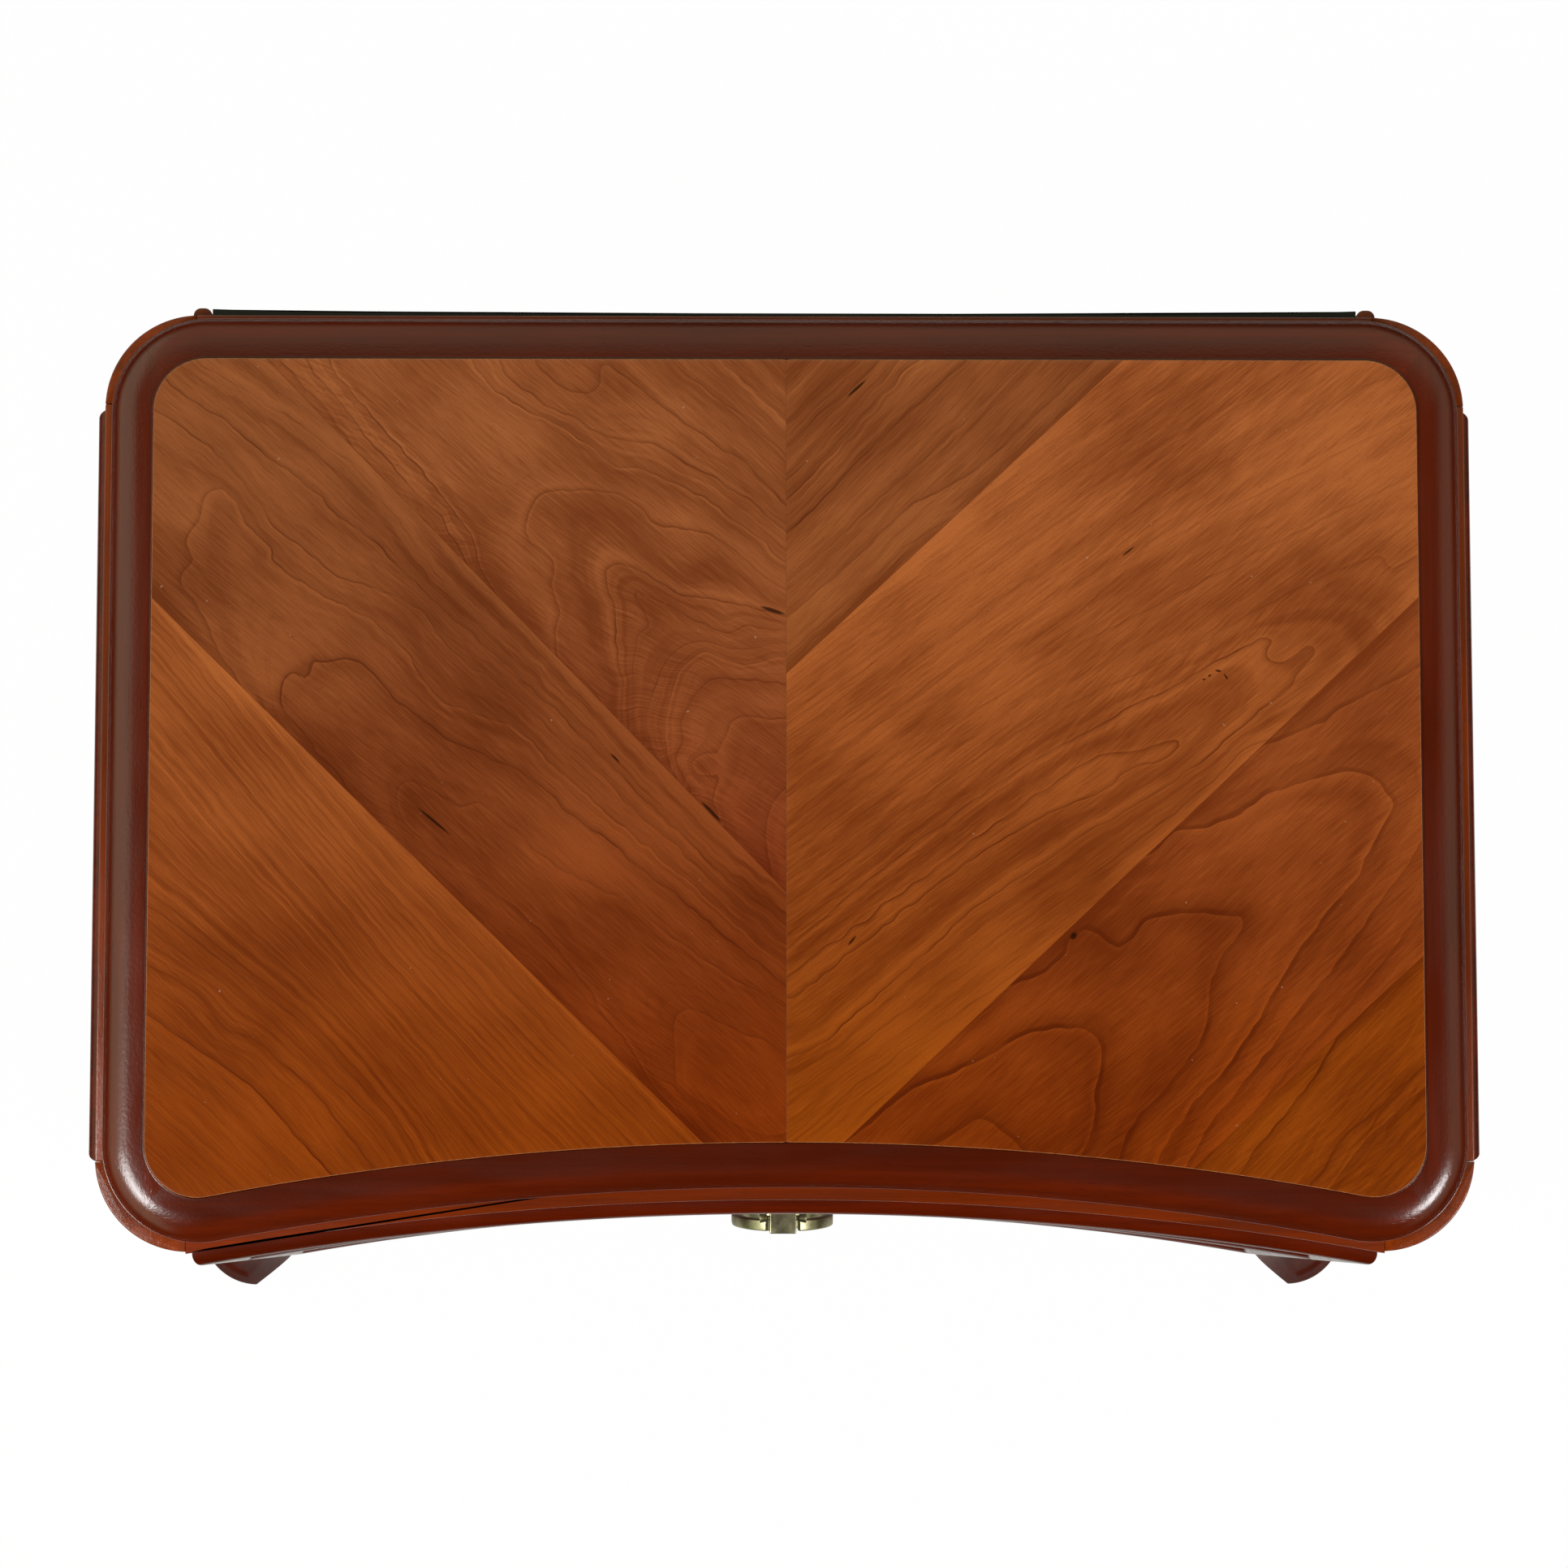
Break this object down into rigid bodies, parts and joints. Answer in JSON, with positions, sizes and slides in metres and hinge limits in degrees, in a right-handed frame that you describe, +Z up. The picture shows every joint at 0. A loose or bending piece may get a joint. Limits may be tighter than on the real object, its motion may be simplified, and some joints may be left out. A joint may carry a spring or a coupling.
{
  "type": "two-drawer nightstand",
  "caption": "Concave-front nightstand with a book-matched veneer top in a moulded rim, raised-bead drawer fronts, ring pulls and splayed feet.",
  "frame": {"origin": "on the floor, under the centre of the overall width and depth", "axes": "+X to the right of someone facing the front, +Y to the back, +Z up; the drawers open towards -Y"},
  "size_m": [0.762, 0.529, 0.686],
  "materials": {
    "veneer": "satin cherry veneer, book-matched",
    "rim_wood": "dark reddish-brown satin lacquer",
    "case_wood": "reddish-brown satin lacquer",
    "panel_wood": "reddish-brown satin lacquer",
    "black_back": "matt black paint on fibreboard",
    "inner_wood": "clear sealed poplar",
    "core_board": "bare particle board",
    "aged_brass": "brushed antique brass",
    "screw_steel": "zinc-plated steel",
    "glide_plastic": "dark nylon"
  },
  "bodies": {
    "case": {"veneer_leaf_left": "veneer", "veneer_leaf_right": "veneer", "rim_moulding_front": "rim_wood", "rim_moulding_back": "rim_wood", "rim_moulding_left": "rim_wood", "rim_moulding_right": "rim_wood", "top_rail_front": "case_wood", "top_rail_back": "case_wood", "top_rail_left": "case_wood", "top_rail_right": "case_wood", "corner_post_front_left": "case_wood", "corner_post_front_right": "case_wood", "corner_post_rear_left": "case_wood", "corner_post_rear_right": "case_wood", "drawer_divider_rail": "case_wood", "bottom_rail_front": "case_wood", "bottom_rail_back": "case_wood", "rear_bead_left": "case_wood", "rear_bead_right": "case_wood", "side_panel_left": "panel_wood", "side_panel_right": "panel_wood", "foot_front_left": "panel_wood", "foot_front_right": "panel_wood", "foot_rear_left": "panel_wood", "foot_rear_right": "panel_wood", "back_panel": "black_back", "bottom_panel": "inner_wood", "runner_upper_left": "inner_wood", "runner_upper_right": "inner_wood", "runner_lower_left": "inner_wood", "runner_lower_right": "inner_wood", "kicker_left": "inner_wood", "kicker_right": "inner_wood", "top_core": "core_board", "glide_front_left": "glide_plastic", "glide_front_right": "glide_plastic", "glide_rear_left": "glide_plastic", "glide_rear_right": "glide_plastic"},
    "upper_drawer": {"upper_drawer_front": "panel_wood", "upper_drawer_side_left": "inner_wood", "upper_drawer_side_right": "inner_wood", "upper_drawer_back": "inner_wood", "upper_drawer_bottom": "inner_wood", "upper_pull_plate": "aged_brass", "upper_pull_block": "aged_brass", "upper_pull_screw": "screw_steel"},
    "upper_ring": {"upper_pull_ring": "aged_brass", "upper_pull_pin": "aged_brass"},
    "lower_drawer": {"lower_drawer_front": "panel_wood", "lower_drawer_side_left": "inner_wood", "lower_drawer_side_right": "inner_wood", "lower_drawer_back": "inner_wood", "lower_drawer_bottom": "inner_wood", "lower_pull_plate": "aged_brass", "lower_pull_block": "aged_brass", "lower_pull_screw": "screw_steel"},
    "lower_ring": {"lower_pull_ring": "aged_brass", "lower_pull_pin": "aged_brass"}
  },
  "joints": [
    {"name": "upper_drawer_slide", "type": "slide", "parent": "case", "child": "upper_drawer", "axis": [0, -1, 0], "range_m": [0, 0.3]},
    {"name": "upper_ring_swing", "type": "hinge", "parent": "upper_drawer", "child": "upper_ring", "pos_m": [0, -0.21844, 0.5375], "axis": [-1, 0, 0], "range_deg": [-2.5, 85]},
    {"name": "lower_drawer_slide", "type": "slide", "parent": "case", "child": "lower_drawer", "axis": [0, -1, 0], "range_m": [0, 0.3]},
    {"name": "lower_ring_swing", "type": "hinge", "parent": "lower_drawer", "child": "lower_ring", "pos_m": [0, -0.21844, 0.261], "axis": [-1, 0, 0], "range_deg": [-2.5, 85]}
  ]
}
